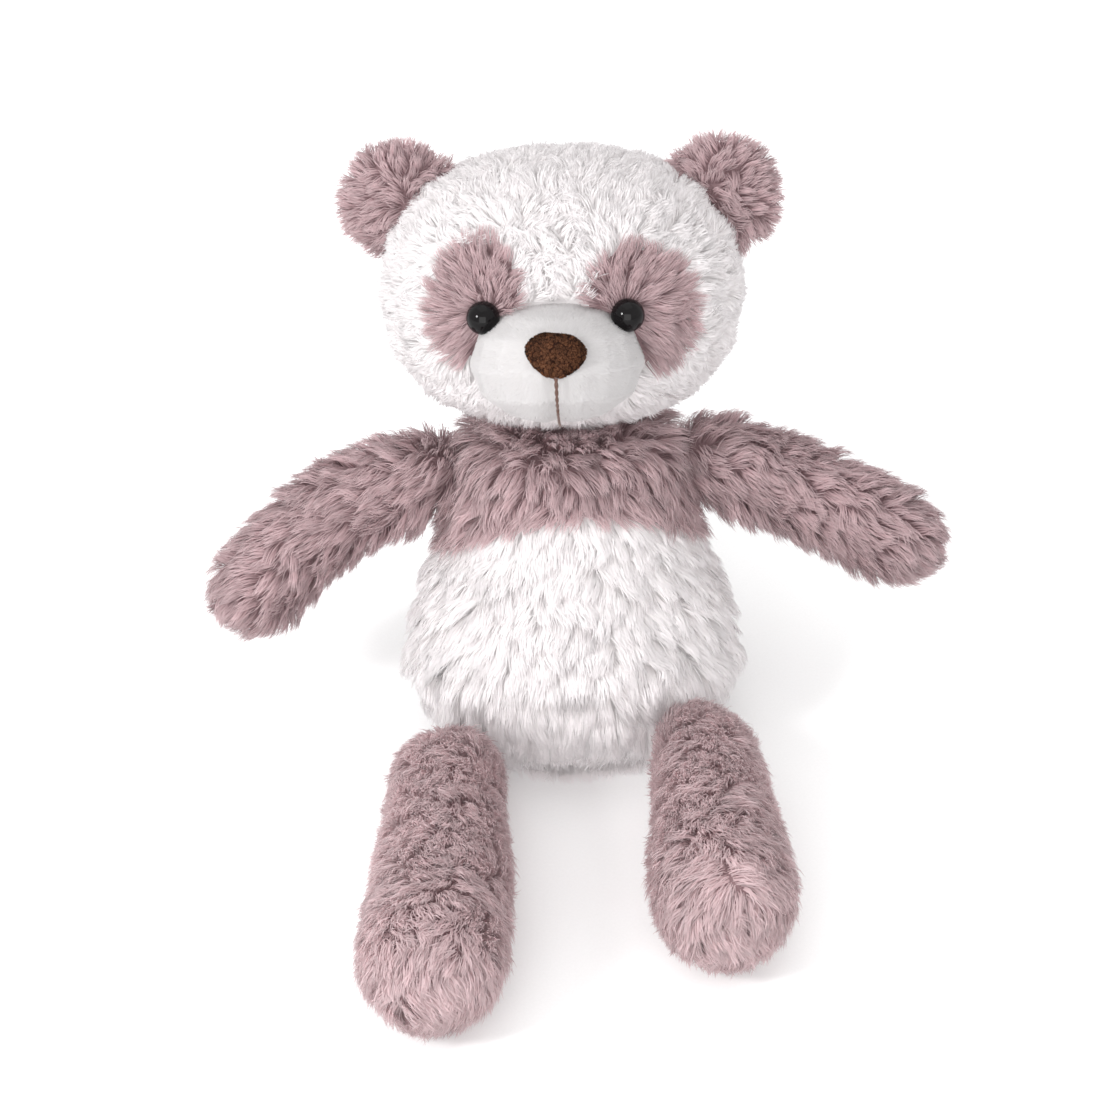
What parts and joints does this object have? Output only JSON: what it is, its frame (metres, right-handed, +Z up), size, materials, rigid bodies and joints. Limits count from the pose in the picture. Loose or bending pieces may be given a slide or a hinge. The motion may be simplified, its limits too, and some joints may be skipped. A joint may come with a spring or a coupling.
{
  "type": "plush panda",
  "caption": "Sitting plush panda with a white head and belly, mauve limbs, ears, chest and eye patches, glossy eyes, a velour muzzle, and a head, ears, arms and legs that bend at their seams.",
  "frame": {"origin": "centre of the bounding box on the floor that the seat and legs rest on", "axes": "+Z up, the toy faces -Y, its own left is +X; the head is turned about nine degrees off the body"},
  "size_m": [0.2836, 0.3162, 0.2129],
  "materials": {
    "mauve_fur": "long pile plush, dusty mauve",
    "white_fur": "long pile plush, white",
    "muzzle_velour": "short velour, warm white",
    "nose_suede": "suede cloth, dark brown",
    "thread": "embroidery thread, dark brown",
    "eye_gloss": "polished black plastic",
    "clear_plastic": "moulded, natural",
    "fibre_fill": "loose polyester fibre",
    "pouch_cloth": "woven cloth filled with beads",
    "seam_cloth": "knitted backing cloth"
  },
  "bodies": {
    "torso": {"chest_front": "mauve_fur", "chest_back": "mauve_fur", "belly_front": "white_fur", "belly_back": "white_fur", "seat_panel": "white_fur", "torso_stuffing": "fibre_fill", "weighting_pouch": "pouch_cloth"},
    "neck_base": {"neck_stuffing": "fibre_fill"},
    "neck_top": {"neck_seam": "seam_cloth"},
    "head": {"head_front_left": "white_fur", "head_front_right": "white_fur", "head_back_left": "white_fur", "head_back_right": "white_fur", "eye_patch_left": "mauve_fur", "eye_patch_right": "mauve_fur", "head_stuffing": "fibre_fill", "muzzle": "muzzle_velour", "muzzle_stuffing": "fibre_fill", "nose": "nose_suede", "mouth_thread": "thread", "eye_left": "eye_gloss", "eye_right": "eye_gloss", "eye_washer_left": "clear_plastic", "eye_washer_right": "clear_plastic"},
    "ear_right": {"ear_front_right": "mauve_fur", "ear_back_right": "mauve_fur"},
    "arm_root_right": {"arm_seam_right": "seam_cloth"},
    "arm_right": {"arm_front_right": "mauve_fur", "arm_back_right": "mauve_fur", "arm_stuffing_right": "fibre_fill"},
    "leg_root_right": {"leg_seam_right": "seam_cloth"},
    "leg_right": {"leg_outer_right": "mauve_fur", "leg_inner_right": "mauve_fur", "leg_stuffing_right": "fibre_fill"},
    "ear_left": {"ear_front_left": "mauve_fur", "ear_back_left": "mauve_fur"},
    "arm_root_left": {"arm_seam_left": "seam_cloth"},
    "arm_left": {"arm_front_left": "mauve_fur", "arm_back_left": "mauve_fur", "arm_stuffing_left": "fibre_fill"},
    "leg_root_left": {"leg_seam_left": "seam_cloth"},
    "leg_left": {"leg_outer_left": "mauve_fur", "leg_inner_left": "mauve_fur", "leg_stuffing_left": "fibre_fill"}
  },
  "joints": [
    {"name": "neck_turn", "type": "hinge", "parent": "torso", "child": "neck_base", "pos_m": [-0.00445, 0.07947, 0.10496], "axis": [-0.0398, 0.4067, 0.9127], "range_deg": [-35, 35], "stiffness_Nm_per_rad": 0.4},
    {"name": "neck_tilt", "type": "hinge", "parent": "neck_base", "child": "neck_top", "pos_m": [-0.00445, 0.07947, 0.10496], "axis": [-0.1041, 0.9067, -0.4086], "range_deg": [-7, 7], "stiffness_Nm_per_rad": 0.5},
    {"name": "neck_nod", "type": "hinge", "parent": "neck_top", "child": "head", "pos_m": [-0.00445, 0.07947, 0.10496], "axis": [0.9938, 0.1113, -0.0062], "range_deg": [-14, 8], "stiffness_Nm_per_rad": 0.5},
    {"name": "ear_fold_right", "type": "hinge", "parent": "head", "child": "ear_right", "pos_m": [-0.06485, 0.11593, 0.18351], "axis": [0.4527, 0.267, 0.8507], "range_deg": [-12, 12], "stiffness_Nm_per_rad": 0.02},
    {"name": "arm_raise_right", "type": "hinge", "parent": "torso", "child": "arm_root_right", "pos_m": [-0.0595, 0.06714, 0.09162], "axis": [-0.1041, 0.9067, -0.4086], "range_deg": [-18, 50], "stiffness_Nm_per_rad": 0.2},
    {"name": "arm_swing_right", "type": "hinge", "parent": "arm_root_right", "child": "arm_right", "pos_m": [-0.0595, 0.06714, 0.09162], "axis": [-0.0398, 0.4067, 0.9127], "range_deg": [-25, 45], "stiffness_Nm_per_rad": 0.2},
    {"name": "leg_spread_right", "type": "hinge", "parent": "torso", "child": "leg_root_right", "pos_m": [-0.04086, -0.0073, 0.0142], "axis": [0, 0, 1], "range_deg": [-30, 6], "stiffness_Nm_per_rad": 0.3},
    {"name": "leg_lift_right", "type": "hinge", "parent": "leg_root_right", "child": "leg_right", "pos_m": [-0.04086, -0.0073, 0.0142], "axis": [1, 0, 0], "range_deg": [-25, 60], "stiffness_Nm_per_rad": 0.3},
    {"name": "ear_fold_left", "type": "hinge", "parent": "head", "child": "ear_left", "pos_m": [0.05184, 0.11138, 0.1884], "axis": [0.5, -0.3042, -0.8108], "range_deg": [-12, 12], "stiffness_Nm_per_rad": 0.02},
    {"name": "arm_raise_left", "type": "hinge", "parent": "torso", "child": "arm_root_left", "pos_m": [0.0518, 0.07961, 0.09092], "axis": [-0.1041, 0.9067, -0.4086], "range_deg": [-50, 18], "stiffness_Nm_per_rad": 0.2},
    {"name": "arm_swing_left", "type": "hinge", "parent": "arm_root_left", "child": "arm_left", "pos_m": [0.0518, 0.07961, 0.09092], "axis": [-0.0398, 0.4067, 0.9127], "range_deg": [-35, 25], "stiffness_Nm_per_rad": 0.2},
    {"name": "leg_spread_left", "type": "hinge", "parent": "torso", "child": "leg_root_left", "pos_m": [0.04114, -0.0033, 0.0142], "axis": [0, 0, 1], "range_deg": [-6, 30], "stiffness_Nm_per_rad": 0.3},
    {"name": "leg_lift_left", "type": "hinge", "parent": "leg_root_left", "child": "leg_left", "pos_m": [0.04114, -0.0033, 0.0142], "axis": [1, 0, 0], "range_deg": [-25, 60], "stiffness_Nm_per_rad": 0.3}
  ]
}
